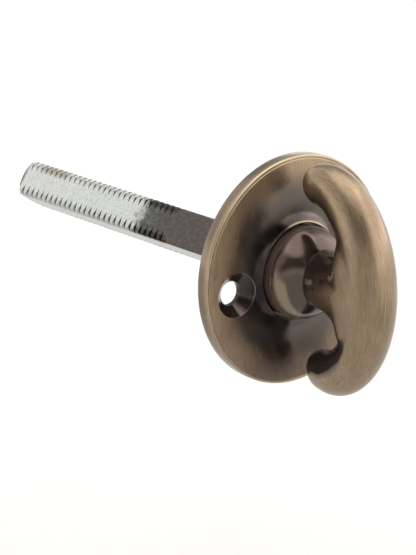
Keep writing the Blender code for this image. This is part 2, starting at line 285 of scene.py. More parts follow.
class Graph:
    """The node tree of a material or the world, with short calls for the nodes that they share."""

    def __init__(self, owner, shader="Principled BSDF", coordinates="Object"):
        owner.use_nodes = True
        self.owner = owner
        self.tree = owner.node_tree
        self.shader = self.tree.nodes[shader]
        self.coords = self.node("ShaderNodeTexCoord").outputs[coordinates]

    def node(self, kind, inputs=(), **settings):
        made = self.tree.nodes.new(kind)
        for key, value in settings.items():
            setattr(made, key, value)
        for key, value in dict(inputs).items():
            self.feed(made.inputs[key], value)
        return made

    def feed(self, socket, value):
        if isinstance(value, bpy.types.NodeSocket):
            self.tree.links.new(value, socket)
        else:
            socket.default_value = value

    def set(self, name, value):
        self.feed(self.shader.inputs[name], value)

    def math(self, operation, a, b=0.0):
        return self.node("ShaderNodeMath", {0: a, 1: b}, operation=operation).outputs[0]

    def chain(self, operation, values):
        """One operation over several values, from left to right."""
        result = values[0]
        for value in values[1:]:
            result = self.math(operation, result, value)
        return result

    def add(self, *values):
        return self.chain("ADD", values)

    def times(self, *values):
        return self.chain("MULTIPLY", values)

    def most(self, *values):
        return self.chain("MAXIMUM", values)

    def least(self, *values):
        return self.chain("MINIMUM", values)

    def minus(self, a, b):
        return self.math("SUBTRACT", a, b)

    def amount(self, a):
        """A value without its sign."""
        return self.math("ABSOLUTE", a)

    def length(self, a, b):
        return self.math("SQRT", self.add(self.times(a, a), self.times(b, b)))

    def towards(self, x, z, angle):
        """How far a point lies along a direction in the XZ plane."""
        return self.add(self.times(x, math.cos(angle)), self.times(z, math.sin(angle)))

    def ramp(self, value, low, high, start=0.0, end=1.0):
        """Smooth step of a value from low..high to start..end."""
        made = self.node(
            "ShaderNodeMapRange",
            {"Value": value, "From Min": low, "From Max": high, "To Min": start, "To Max": end},
            interpolation_type="SMOOTHSTEP",
        )
        return made.outputs["Result"]

    def vector(self, x, y, z):
        return self.node("ShaderNodeCombineXYZ", {"X": x, "Y": y, "Z": z}).outputs[0]

    def parts(self, vector):
        return self.node("ShaderNodeSeparateXYZ", {"Vector": vector}).outputs[:3]

    def axes(self):
        return self.parts(self.coords)

    def transformed(self, vector, kind, origin, target):
        return self.node(
            "ShaderNodeVectorTransform",
            {"Vector": vector},
            vector_type=kind,
            convert_from=origin,
            convert_to=target,
        ).outputs[0]

    def normal(self):
        """The surface normal in the object's own axes, which turn with the piece."""
        geometry = self.node("ShaderNodeNewGeometry").outputs["Normal"]
        return self.parts(self.transformed(geometry, "NORMAL", "WORLD", "OBJECT"))

    def along(self, axis):
        """A direction of the object's own, in world space, for the grain."""
        return self.transformed(axis, "VECTOR", "OBJECT", "WORLD")

    def distance(self, point):
        made = self.node("ShaderNodeVectorMath", {0: self.coords, 1: point}, operation="DISTANCE")
        return made.outputs["Value"]

    def noise(self, stretch, detail=3.0, roughness=0.55, seed=0.0, at=None):
        """Noise with its own frequency along each axis, in cycles per metre."""
        placed = self.node(
            "ShaderNodeMapping",
            {"Vector": at or self.coords, "Scale": stretch, "Location": (seed, seed, seed)},
        ).outputs[0]
        inputs = {"Vector": placed, "Scale": 1.0, "Detail": detail, "Roughness": roughness}
        return self.node("ShaderNodeTexNoise", inputs).outputs["Fac"]

    def mix(self, factor, a, b):
        """Between two colours."""
        made = self.node("ShaderNodeMix", data_type="RGBA")
        self.feed(made.inputs["Factor"], factor)
        self.feed(made.inputs["A"], a)
        self.feed(made.inputs["B"], b)
        return made.outputs["Result"]

    def blend(self, factor, a, b):
        """Between two numbers."""
        made = self.node("ShaderNodeMix", data_type="FLOAT")
        self.feed(made.inputs["Factor"], factor)
        self.feed(made.inputs["A"], a)
        self.feed(made.inputs["B"], b)
        return made.outputs["Result"]

    def bump(self, height, strength, distance, base=None):
        inputs = {"Height": height, "Strength": strength, "Distance": distance}
        if base is not None:
            inputs["Normal"] = base
        return self.node("ShaderNodeBump", inputs).outputs["Normal"]


# ---------------------------------------------------------------- antique brass

TAN = (0.315, 0.230, 0.142, 1)
BROWN = (0.150, 0.103, 0.064, 1)
REDDISH_BRASS = (0.205, 0.135, 0.094, 1)
# bare brass where worn, and for painted highlights
BARE_BRASS_AND_HIGHLIGHT = (0.56, 0.46, 0.31, 1)
# painted shadow: the brushed brass darkened below the hub
PAINTED_SHADOW_BRASS = (0.050, 0.038, 0.030, 1)
PATINA = (0.075, 0.060, 0.051, 1)
RUSSET_PATINA = (0.095, 0.066, 0.054, 1)
WARM_PATINA = (0.125, 0.078, 0.064, 1)
ROSE_PATINA = (0.122, 0.105, 0.092, 1)
HOLE_PATINA = (0.036, 0.026, 0.024, 1)
# painted shadow: the polished patina darkened below the hub
PAINTED_SHADOW_DARK = (0.026, 0.021, 0.018, 1)
# painted shade: near-black for the cove next to the hub
RECESS_PAINTED_SHADE = (0.008, 0.008, 0.008, 1)
PIT_BLACK = (0.012, 0.010, 0.010, 1)

WAVE_HEIGHT = 0.7 * MM
SCRATCH_DEPTH = 0.04 * MM

# The rose's masks, by radius, coordinate or normal. Each fades in from the first value to the second.
ROSE_FRONT_Y = (-1.9 * MM, -2.4 * MM)
ROSE_BACK_NORMAL_Y = (0.5, 0.9)
ROSE_BRUSHED_RADIUS = (15.5 * MM, 20.5 * MM)
ROSE_BRUSHED_Y = (-1.2 * MM, -2.0 * MM)
ROSE_RIM_RADIUS = (20.05 * MM, 20.38 * MM)
# painted highlight: bare brass on the collar's lip, on its top only
ROSE_COLLAR_HIGHLIGHT_RADIUS = (9.25 * MM, 8.95 * MM)
ROSE_COLLAR_HIGHLIGHT_Y = (-3.0 * MM, -3.25 * MM)
ROSE_COLLAR_HIGHLIGHT_Z = (5.5 * MM, 8.0 * MM)
# painted shade in the cove next to the hub, mostly on the left, and in a ring round the collar
ROSE_PAINTED_SHADE_RADIUS = (13.5 * MM, 10.0 * MM)
ROSE_PAINTED_SHADE_SIDE = (3.0 * MM, -3.5 * MM)
ROSE_PAINTED_SHADE_RING_RADIUS = (10.8 * MM, 9.5 * MM)
HOLE_LIP_RADIUS = 4.0 * MM
HOLE_LIP_FALL = 9000  # per metre, so that the worn lip is about 0.1 mm wide to each side
# a painted shadow of the grip, an oval on the face below the hub
PAINTED_SHADOW_X, PAINTED_SHADOW_Z = -3.2 * MM, -15.9 * MM
PAINTED_SHADOW_SPREAD = (2.9 * MM, 1.0 * MM)
PAINTED_SHADOW_LONG, PAINTED_SHADOW_TALL = 6.8, 3.6  # how many times its spread the painted shadow is long and tall

# The turn's masks and grain. A ring is the share of the way from the grip ellipse's centre to its line.
GRAIN_ROUND = 15 * MM
GRAIN_ACROSS = 14 * MM
TURN_BRUSHED_RING = (0.36, 0.54)
TURN_BRUSHED_FACING = (-0.40, -0.10)
TURN_LEVEL_NORMAL_Z = (0.3, 0.8)
TURN_UPPER_Z = (-1.0 * MM, 1.5 * MM)
TURN_CLEAR_OF_HUB_Y = (-11.0 * MM, -12.0 * MM)
TURN_CLEAR_OF_HUB_RADIUS = (9.5 * MM, 10.5 * MM)
UNDER_STEM_DIAGONAL = (1.2 * MM, -1.2 * MM)
UNDER_STEM_NORMAL_Z = (-0.9, -0.55)
UNDER_STEM_Y = (-9.6 * MM, -10.6 * MM)
UNDER_STEM_Z = (-9.0 * MM, -6.5 * MM)
RUBBED_HUB_SIDE = (5.7 * MM, 6.9 * MM)
RUBBED_HUB_CROWN_Y = (-7.9 * MM, -7.3 * MM)
RUBBED_HUB_EDGE_Y = (-4.5 * MM, -4.9 * MM)
# the hub's edge: wear and a painted highlight
HUB_EDGE_HIGHLIGHT_ABOVE_Y = (-5.05 * MM, -4.88 * MM)
HUB_EDGE_HIGHLIGHT_BELOW_Y = (-4.5 * MM, -4.75 * MM)
HUB_WALL_ABOVE_Y = (-5.0 * MM, -4.7 * MM)
HUB_WALL_BELOW_Y = (-2.2 * MM, -3.0 * MM)
STEM_TOP_Y = (-9.0 * MM, -10.5 * MM)
UPPER_HUB_Y = (-4.9 * MM, -5.2 * MM)
UPPER_HUB_Z = (1.0 * MM, 4.0 * MM)
CASTING_PIT = (-1.2 * MM, -9.15 * MM, 5.2 * MM)
CASTING_PIT_RADIUS = (1.25 * MM, 0.7 * MM)


def brushed_brass(
    g,
    brushed,
    wear_and_painted_highlight,
    dark,
    grain_coords,
    grain_direction,
    lift=0.0,
    stain_and_painted_shade=0.0,
    matte=0.0,
    waviness=0.0,
):
    """Antique brass: brushed down to tan metal where asked and polished dark patina elsewhere, bare
    where worn or where a highlight is painted, and darkened where a shadow is painted.
    """
    coarse = g.noise((6000, 6000, 300), detail=4.0, roughness=0.7, at=grain_coords)
    fine = g.noise((21000, 21000, 600), detail=2.0, roughness=0.6, seed=3.1, at=grain_coords)
    lines = g.add(g.times(coarse, 0.6), g.times(fine, 0.4))
    cloud = g.noise((130, 130, 110), detail=2.0, seed=7.7)
    tone = g.ramp(g.add(lines, g.times(cloud, 0.35), lift), 0.44, 0.87)
    reddish = g.ramp(g.noise((115, 115, 95), detail=2.0, seed=8.8), 0.48, 0.68, 0.0, 0.6)
    metal = g.mix(reddish, g.mix(tone, BROWN, TAN), REDDISH_BRASS)
    # darkened where a shadow is painted, and bare brass where worn or where a highlight is painted
    metal = g.mix(wear_and_painted_highlight, g.mix(stain_and_painted_shade, metal, PAINTED_SHADOW_BRASS), BARE_BRASS_AND_HIGHLIGHT)
    mottle = g.ramp(g.noise((240, 240, 200), detail=3.0, seed=1.3), 0.35, 0.65, 0.0, 0.7)
    patina = g.mix(mottle, dark, g.mix(0.55, dark, RUSSET_PATINA))
    rubbed = g.most(g.times(brushed, g.ramp(lines, 0.25, 0.5, 0.6, 1.0)), wear_and_painted_highlight)
    g.set("Base Color", g.mix(rubbed, patina, metal))
    g.set("Metallic", g.blend(rubbed, g.blend(matte, 0.8, 0.15), 1.0))
    smear = g.ramp(g.noise((420, 420, 300), detail=3.0, seed=5.9), 0.3, 0.7, 0.10, 0.2)
    polish = g.blend(matte, smear, 0.4)
    g.set("Roughness", g.blend(rubbed, polish, g.ramp(lines, 0.3, 0.7, 0.30, 0.38)))
    g.set("Anisotropic", g.times(rubbed, 0.6))
    g.set("Tangent", g.along(grain_direction))
    g.set("Coat Weight", g.times(rubbed, 0.35))
    g.set("Coat Roughness", 0.3)
    waves = g.noise((210, 210, 210), detail=0.0, seed=4.9)
    wavy = g.bump(waves, g.blend(rubbed, waviness, 0.0), WAVE_HEIGHT)
    scratches = g.times(lines, g.blend(rubbed, 0.12, 1.0))
    g.set("Normal", g.bump(scratches, 0.3, SCRATCH_DEPTH, wavy))


def rose_finish():
    """Brushed outer face, polished dark cove, darker holes, worn edges, painted shade next to the hub, a
    painted highlight along the collar's top, a painted shadow below the hub and a plain back.
    """
    g = Graph(bpy.data.materials.new("brushed_antique_brass_rose"))
    x, y, z = g.axes()
    radius = g.length(x, z)
    wander = g.times(g.noise((150, 150, 90), detail=2.0, seed=2.2), 5 * MM)
    front = g.ramp(y, *ROSE_FRONT_Y)
    back = g.ramp(g.normal()[1], *ROSE_BACK_NORMAL_Y)
    # how far from the nearer screw hole's centre
    centres = [about_axis(angle) @ Vector((SCREW_CIRCLE_RADIUS, 0, 0)) for angle in SCREW_ANGLES]
    hole = g.least(*[g.length(g.minus(x, centre.x), g.minus(z, centre.z)) for centre in centres])

    # brushed outside the cove and the holes
    outer_face = g.ramp(g.add(radius, wander), *ROSE_BRUSHED_RADIUS)
    outside_holes = g.ramp(hole, HOLE_LIP_RADIUS - 0.1 * MM, HOLE_LIP_RADIUS + 0.05 * MM)
    brushed = g.times(outer_face, outside_holes, g.ramp(y, *ROSE_BRUSHED_Y, 0.35, 1.0))

    # worn on the rim and round the holes, and a painted highlight of bare brass along the top of the
    # collar
    rim_wear = g.ramp(g.noise((90, 90, 90), seed=3.7), 0.35, 0.65, 0.2, 0.5)
    rim = g.times(g.ramp(radius, *ROSE_RIM_RADIUS), front, rim_wear)
    off_lip = g.amount(g.minus(hole, HOLE_LIP_RADIUS))
    lip = g.times(g.most(g.minus(1.0, g.times(off_lip, HOLE_LIP_FALL)), 0.0), 0.5)
    # painted highlight along the top of the collar
    collar_highlight = g.times(g.ramp(radius, *ROSE_COLLAR_HIGHLIGHT_RADIUS), g.ramp(y, *ROSE_COLLAR_HIGHLIGHT_Y))
    collar_highlight = g.times(collar_highlight, g.ramp(z, *ROSE_COLLAR_HIGHLIGHT_Z, 0.0, 0.5))
    wear_and_painted_highlight = g.most(rim, lip, collar_highlight)

    # dark in the holes; painted shade next to the hub, near-black in the cove mostly on the left and
    # half as dark in a ring round the collar; and a painted shadow of the grip below the hub
    in_hole = g.ramp(hole, HOLE_LIP_RADIUS, HOLE_LIP_RADIUS - 0.2 * MM)
    side = g.add(g.times(x, 0.8), g.times(z, -0.35), g.times(wander, 0.6))
    # painted shade in the cove next to the hub
    recess = g.times(g.ramp(radius, *ROSE_PAINTED_SHADE_RADIUS), g.ramp(side, *ROSE_PAINTED_SHADE_SIDE))
    recess = g.most(recess, g.ramp(radius, *ROSE_PAINTED_SHADE_RING_RADIUS, 0.0, 0.5))
    # painted shadow of the grip: an oval below the hub, on the front only
    off_painted_shadow = g.length(
        g.times(g.minus(x, PAINTED_SHADOW_X), 1 / PAINTED_SHADOW_LONG),
        g.times(g.minus(z, PAINTED_SHADOW_Z), 1 / PAINTED_SHADOW_TALL),
    )
    stain_and_painted_shade = g.ramp(g.add(off_painted_shadow, g.times(wander, 0.3)), *PAINTED_SHADOW_SPREAD, 0.0, 0.8)
    stain_and_painted_shade = g.times(stain_and_painted_shade, front)
    dark = g.mix(in_hole, ROSE_PATINA, HOLE_PATINA)
    dark = g.mix(g.times(recess, 0.97), dark, RECESS_PAINTED_SHADE)
    dark = g.mix(stain_and_painted_shade, dark, PAINTED_SHADOW_DARK)

    brushed_brass(
        g,
        g.blend(back, brushed, 0.4),
        g.blend(back, wear_and_painted_highlight, 0.0),
        dark,
        grain_coords=g.coords,
        grain_direction=(0, 0, 1),
        # the brushed tone gets lighter towards the top and darker towards the bottom
        lift=g.times(z, 8.0),
        stain_and_painted_shade=stain_and_painted_shade,
        waviness=0.05,
    )
    return g.owner


def turn_finish():
    """Brushed where the hand reaches, with a dark hub and stem; the grain follows the grip's arms."""
    g = Graph(bpy.data.materials.new("brushed_antique_brass_turn"))
    x, y, z = g.axes()
    nx, ny, nz = g.normal()
    forward = g.math("DIVIDE", g.add(y, GRIP_REACH - GRIP_BEND), -GRIP_BEND)
    upward = g.math("DIVIDE", z, GRIP_HALF_SPAN)
    ring = g.length(forward, upward)
    turned_by = g.math("ARCTAN2", upward, forward)
    grain_coords = g.vector(x, g.times(ring, GRAIN_ACROSS), g.times(turned_by, GRAIN_ROUND))
    grain_direction = g.vector(0.0, g.times(upward, GRIP_BEND / GRIP_HALF_SPAN), forward)
    wander = g.times(g.minus(g.noise((300, 300, 200), seed=4.4), 0.5), 0.3)

    # brushed on the outside of the arms, clear of the hub
    level = g.ramp(g.amount(nz), *TURN_LEVEL_NORMAL_Z, 0.0, 0.45)
    upper = g.ramp(z, *TURN_UPPER_Z, 0.0, 0.2)
    reached = g.minus(g.add(ring, g.times(wander, 0.5)), g.add(level, upper))
    outward = g.add(g.times(ny, forward, -1.0), g.times(nz, upward))
    facing = g.add(g.math("DIVIDE", outward, ring), wander, g.times(z, 18.0))
    clear_of_hub = g.most(
        g.ramp(y, *TURN_CLEAR_OF_HUB_Y),
        g.ramp(g.length(x, z), *TURN_CLEAR_OF_HUB_RADIUS),
    )
    brushed = g.times(
        g.ramp(reached, *TURN_BRUSHED_RING),
        g.ramp(facing, *TURN_BRUSHED_FACING),
        clear_of_hub,
    )
    # and under the stem, below a line that climbs a little towards the grip
    diagonal = g.add(z, g.times(g.add(y, 12 * MM), 0.2), g.times(wander, 8 * MM))
    under_stem = g.times(
        g.ramp(diagonal, *UNDER_STEM_DIAGONAL),
        g.ramp(nz, *UNDER_STEM_NORMAL_Z),
        g.ramp(y, *UNDER_STEM_Y),
        g.ramp(z, *UNDER_STEM_Z),
    )
    brushed = g.most(brushed, g.times(under_stem, 0.85))

    # worn on one side of the hub's dome, and bare along the hub's edge as wear and as a painted
    # highlight
    side = g.add(g.times(x, -0.86), g.times(z, -0.51), g.times(wander, 6 * MM))
    dome = g.times(g.ramp(y, *RUBBED_HUB_CROWN_Y), g.ramp(y, *RUBBED_HUB_EDGE_Y))
    rubbed_hub = g.times(g.ramp(side, *RUBBED_HUB_SIDE), dome)
    # painted highlight and wear along the hub's edge
    hub_edge_wear_and_highlight = g.times(g.ramp(y, *HUB_EDGE_HIGHLIGHT_ABOVE_Y, 0.0, 0.5), g.ramp(y, *HUB_EDGE_HIGHLIGHT_BELOW_Y))
    wear_and_painted_highlight = g.times(g.most(hub_edge_wear_and_highlight, rubbed_hub), 0.42)

    # a warmer patina on the hub's wall, the stem's top and the upper hub, and one small casting pit
    hub_wall = g.times(g.ramp(y, *HUB_WALL_ABOVE_Y), g.ramp(y, *HUB_WALL_BELOW_Y))
    stem_top = g.times(g.ramp(y, *STEM_TOP_Y), g.ramp(z, *TURN_UPPER_Z, 0.0, 0.5))
    upper_hub = g.times(g.ramp(y, *UPPER_HUB_Y), g.ramp(z, *UPPER_HUB_Z, 0.0, 0.35))
    ragged = g.times(g.noise((1500, 1500, 1500), seed=1.9), 0.8 * MM)
    pit = g.ramp(g.add(g.distance(CASTING_PIT), ragged), *CASTING_PIT_RADIUS)
    dark = g.mix(g.most(hub_wall, stem_top, upper_hub), PATINA, WARM_PATINA)
    dark = g.mix(pit, dark, PIT_BLACK)

    brushed_brass(
        g,
        brushed,
        wear_and_painted_highlight,
        dark,
        grain_coords=grain_coords,
        grain_direction=grain_direction,
        matte=g.times(hub_wall, 0.9),
        waviness=0.7,
    )
    return g.owner


# ---------------------------------------------------------------- zinc and the hidden metals

ZINC_DULL = (0.38, 0.395, 0.39, 1)
ZINC_BRIGHT = (0.60, 0.62, 0.61, 1)
ZINC_BLOTCH = (0.40, 0.42, 0.38, 1)
ZINC_YELLOWED = (0.30, 0.265, 0.17, 1)
# painted shade for the thread roots, the outermost crests and the end
ZINC_PAINTED_SHADE = (0.055, 0.055, 0.050, 1)
ZINC_CORNER = (0.20, 0.21, 0.20, 1)
OXIDE_GREY = (0.050, 0.048, 0.046, 1)
OXIDE_BROWN = (0.094, 0.072, 0.061, 1)
OXIDE_RUST = (0.110, 0.066, 0.048, 1)
OXIDE_FADED_DARK = (0.045, 0.046, 0.044, 1)
OXIDE_FADED_LIGHT = (0.110, 0.112, 0.105, 1)
# black oxide on the threaded corners, and painted shade in the thread roots
OXIDE_AND_SHADE_BLACK = (0.012, 0.011, 0.010, 1)

BELOW_FLAT = (SPINDLE_HALF - 0.01 * MM, SPINDLE_HALF - 0.10 * MM)
GROOVE_RADIUS = (4.62 * MM, 4.2 * MM)
# painted shade in the thread roots, along the outermost crests and at the end
GROOVE_PAINTED_SHADE_Y = (66 * MM, 42 * MM)
CORNER_SPAN = (2.2 * MM, 2.6 * MM)
OUTERMOST_PAINTED_SHADE = (4.50 * MM, 4.74 * MM)
END_PAINTED_SHADE_Y = (spindle_high.y - 1.3 * MM, spindle_high.y - 0.3 * MM)
YELLOWED_FROM_Y = (62.5 * MM, 64.5 * MM)
YELLOWED_TO_Y = (73.0 * MM, 71.0 * MM)
YELLOWED_TOP = (3.5 * MM, 4.2 * MM)
RUST_Y = (28 * MM, 10 * MM)
FADED_Y = (32.5 * MM, 34.5 * MM)
# painted shade in the thread roots next to the rose
ROOT_PAINTED_SHADE_Y = (THREAD_START - 0.6 * MM, THREAD_START)
BLACK_CORNER_Y = (THREAD_START, THREAD_START + MM)
OXIDE_END_Y = (39.5 * MM, 37.0 * MM)
# oxide and painted shade only on faces that don't face down
OXIDE_PAINTED_SHADE_FACING_Z = (-0.65, -0.35)


def zinc_finish():
    """Zinc plating that is bright at the free end and oxidised dark next to the rose, partly as painted
    shade on the upper faces, with painted shade in its thread roots, along its outermost crests and at
    its end.
    """
    g = Graph(bpy.data.materials.new("zinc_plated_steel"))
    x, y, z = g.axes()
    nz = g.normal()[2]
    # how far from the axis along the directions of the flats, and towards the top corner
    across_a = g.amount(g.towards(x, z, SPINDLE_CLOCK + math.radians(45)))
    across_b = g.amount(g.towards(x, z, SPINDLE_CLOCK + math.radians(135)))
    top = g.towards(x, z, SPINDLE_CLOCK + math.radians(90))
    below_flat = g.ramp(g.most(across_a, across_b), *BELOW_FLAT)
    groove = g.times(below_flat, g.ramp(g.length(x, z), *GROOVE_RADIUS))
    in_corner = g.ramp(g.least(across_a, across_b), *CORNER_SPAN)
    blotch = g.noise((420, 420, 420), detail=5.0, roughness=0.65)
    speck = g.noise((3600, 2200, 3600), detail=4.0, roughness=0.7, seed=6.1)

    # the plating, yellowed near the tip, with painted shade in its grooves, along the outermost crests
    # of two corners and at its end
    plate = g.mix(g.ramp(speck, 0.30, 0.62), ZINC_DULL, ZINC_BRIGHT)
    plate = g.mix(g.ramp(blotch, 0.35, 0.65, 0.0, 0.25), plate, ZINC_BLOTCH)
    yellowed = g.times(
        g.ramp(y, *YELLOWED_FROM_Y),
        g.ramp(y, *YELLOWED_TO_Y),
        g.ramp(top, *YELLOWED_TOP),
        g.ramp(speck, 0.4, 0.6, 0.45, 0.9),
    )
    plate = g.mix(yellowed, plate, ZINC_YELLOWED)
    # painted shade in the grooves, along the outermost crests and at the end
    stain_and_painted_shade = g.most(
        g.times(groove, g.ramp(y, *GROOVE_PAINTED_SHADE_Y, 0.70, 0.95)),
        g.ramp(g.amount(top), *OUTERMOST_PAINTED_SHADE, 0.0, 0.45),
        g.ramp(y, *END_PAINTED_SHADE_Y, 0.0, 0.9),
    )
    plate = g.mix(stain_and_painted_shade, plate, ZINC_PAINTED_SHADE)
    plate = g.mix(g.times(in_corner, 0.20), plate, ZINC_CORNER)

    # the oxide, rusty next to the rose, faded before its end and black on the threaded corners, with
    # painted shade in the thread roots
    rust = g.noise((1500, 1000, 1500), detail=6.0, roughness=0.75, seed=2.4)
    oxide = g.mix(g.ramp(rust, 0.40, 0.60), OXIDE_GREY, OXIDE_BROWN)
    reddish = g.ramp(g.noise((300, 160, 300), detail=3.0, seed=5.2), 0.42, 0.62, 0.0, 0.7)
    oxide = g.mix(g.times(reddish, g.ramp(y, *RUST_Y)), oxide, OXIDE_RUST)
    faded = g.mix(g.ramp(rust, 0.35, 0.65), OXIDE_FADED_DARK, OXIDE_FADED_LIGHT)
    oxide = g.mix(g.ramp(y, *FADED_Y), oxide, faded)
    # painted shade in the thread roots
    painted_root_shade = g.times(below_flat, g.ramp(y, *ROOT_PAINTED_SHADE_Y), 0.92)
    black_corner = g.times(in_corner, g.ramp(y, *BLACK_CORNER_Y, 0.0, 0.7))
    oxide = g.mix(g.most(black_corner, painted_root_shade), oxide, OXIDE_AND_SHADE_BLACK)

    # the oxide ends raggedly and reaches further out in the grooves; painted only on faces that don't
    # face down, it is partly painted shade, and the lowest faces stay bright
    ragged = g.add(y, g.times(g.minus(blotch, 0.5), 8 * MM))
    oxide_end = g.ramp(g.minus(ragged, g.times(groove, 4 * MM)), *OXIDE_END_Y)
    oxide_and_painted_shade = g.times(oxide_end, g.ramp(nz, *OXIDE_PAINTED_SHADE_FACING_Z))
    g.set("Base Color", g.mix(oxide_and_painted_shade, plate, oxide))
    g.set("Metallic", g.blend(oxide_and_painted_shade, 0.9, 0.7))
    g.set("Roughness", g.ramp(speck, 0.3, 0.7, 0.32, 0.48))
    height = g.add(speck, g.times(blotch, 0.6))
    g.set("Normal", g.bump(height, 0.25, 0.05 * MM))
    return g.owner


def plain_metal(name, light, dark, roughness, stretch):
    """Turned or stamped metal with a fine grain and a few stains."""
    g = Graph(bpy.data.materials.new(name))
    grain = g.noise(stretch, detail=4.0)
    stain_and_painted_shade = g.noise((700, 700, 700), detail=4.0, seed=8.0)
    tone = g.ramp(g.add(g.times(grain, 0.5), g.times(stain_and_painted_shade, 0.5)), 0.35, 0.65)
    g.set("Base Color", g.mix(tone, dark, light))
    g.set("Metallic", 1.0)
    g.set("Roughness", g.ramp(grain, 0.3, 0.7, roughness - 0.06, roughness + 0.08))
    g.set("Normal", g.bump(grain, 0.3, 0.03 * MM))
    return g.owner


# ---------------------------------------------------------------- rose


def face_height(radius):
    """How far the rose's face stands ahead of its back, at a radius."""
    if radius >= COVE_RADIUS:
        outward = (radius - COVE_RADIUS) / (ROSE_RADIUS - COVE_RADIUS)
        return COVE_HEIGHT + (RIM_HEIGHT - COVE_HEIGHT) * outward
    rise = (COVE_RADIUS - radius) / (COVE_RADIUS - COLLAR_RADIUS)
    return COVE_HEIGHT + (COLLAR_HEIGHT - COLLAR_DROP - COVE_HEIGHT) * rise**COVE_CURVE


def rose_profile(groove_steps=8, face_steps=60):
    """Back face, side wall, beaded front edge, face, cove, collar and stepped bore."""
    points = round_corner((ROSE_RADIUS - BACK_EDGE, -BACK_EDGE), BACK_EDGE, 90, 0, 4)
    points += round_corner((ROSE_RADIUS - FRONT_EDGE, -RIM_HEIGHT + FRONT_EDGE), FRONT_EDGE, 0, -90, 8)
    groove = ROSE_RADIUS - BEAD_WIDTH
    for i in range(groove_steps + 1):
        t = i / groove_steps
        radius = groove + GROOVE_WIDTH * (0.5 - t)
        points.append((radius, -face_height(radius) + GROOVE_DEPTH * math.sin(math.pi * t) ** 2))
    recess = HUB_RADIUS + GAP
    outer = groove - 0.3 * MM
    inner = recess + COLLAR_LIP + 0.02 * MM
    for i in range(face_steps + 1):
        radius = outer + (inner - outer) * i / face_steps
        points.append((radius, -min(face_height(radius), COLLAR_HEIGHT)))
    lip_centre = (recess + COLLAR_LIP, -COLLAR_HEIGHT + COLLAR_LIP)
    points += round_corner(lip_centre, COLLAR_LIP, -90, -180, 6)[1:]
    bore = SHANK_RADIUS + GAP
    points += [
        (recess, -HUB_SEAT),
        (bore + BORE_CHAMFER, -HUB_SEAT),
        (bore, -HUB_SEAT + BORE_CHAMFER),
        (bore, -COUNTERBORE_DEPTH - STEP_CHAMFER),
        (bore + STEP_CHAMFER, -COUNTERBORE_DEPTH),
        (COUNTERBORE_RADIUS, -COUNTERBORE_DEPTH),
        (COUNTERBORE_RADIUS, -BORE_CHAMFER),
        (COUNTERBORE_RADIUS + BORE_CHAMFER, 0),
    ]
    return points


def screw_hole_cutter(angle, sides=120):
    """A countersink whose eased edge follows the rose's face."""
    place = about_axis(angle) @ Matrix.Translation((SCREW_CIRCLE_RADIUS, 0, 0))
    rings = []
    for out, deep in HOLE_EASE:
        radius = SCREW_HEAD_RADIUS + out
        ring = []
        for a in full_circle(sides):
            point = place @ Vector((radius * math.cos(a), 0, radius * math.sin(a)))
            point.y = -face_height(math.hypot(point.x, point.z)) + deep
            ring.append(point)
        rings.append(ring)
    radius = SCREW_HOLE_RADIUS
    cone_depth = SCREW_HEAD_RADIUS - SCREW_HOLE_RADIUS
    for y in (-COVE_HEIGHT + cone_depth, MM):
        circle = [Vector((radius * math.cos(a), y, radius * math.sin(a))) for a in full_circle(sides)]
        rings.append([place @ point for point in circle])
    return mesh_object("screw_hole", lofted(rings))


def make_rose():
    rose = mesh_object("rose_plate", turned(rose_profile(), 288))
    for angle in SCREW_ANGLES:
        boolean(rose, screw_hole_cutter(angle), "DIFFERENCE")
    smooth_between_edges(rose, 30)
    take_finish(rose, rose_finish())
    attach(rose, "rose")
    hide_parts("rose")


# ---------------------------------------------------------------- turn handle


def grip_rings(stations=150, sides=56, tip_steps=14):
    """Oval sections along the crescent, from the lower tip to the upper tip."""

    def section(theta, past=0.0, size=1.0):
        y = -(GRIP_REACH - GRIP_BEND * (1 - math.cos(theta)))
        z = GRIP_HALF_SPAN * math.sin(theta)
        tangent = Vector((0, GRIP_BEND * math.sin(theta), GRIP_HALF_SPAN * math.cos(theta)))
        tangent.normalize()
        normal = Vector((0, tangent.z, -tangent.y))
        centre = Vector((0, y, z)) + tangent * past
        thick = size * along_arm(GRIP_THICKNESS, theta)
        wide = size * along_arm(GRIP_WIDTH, theta)
        return [
            centre + Vector((wide * math.cos(a), 0, 0)) + normal * thick * math.sin(a)
            for a in full_circle(sides)
        ]

    leans = [GRIP_TIP_LEAN * i / tip_steps for i in range(1, tip_steps + 1)]
    lower = [section(-GRIP_SWEEP, -GRIP_TIP * math.sin(a), math.cos(a)) for a in reversed(leans)]
    middle = [section(GRIP_SWEEP * (2 * i / stations - 1)) for i in range(stations + 1)]
    upper = [section(GRIP_SWEEP, GRIP_TIP * math.sin(a), math.cos(a)) for a in leans]
    return lower + middle + upper


def along_arm(size, theta):
    """A half size of the grip's section at an angle of its sweep."""
    s = abs(theta) / GRIP_SWEEP
    return size[0] + size[1] * s**2 + size[2] * s**4


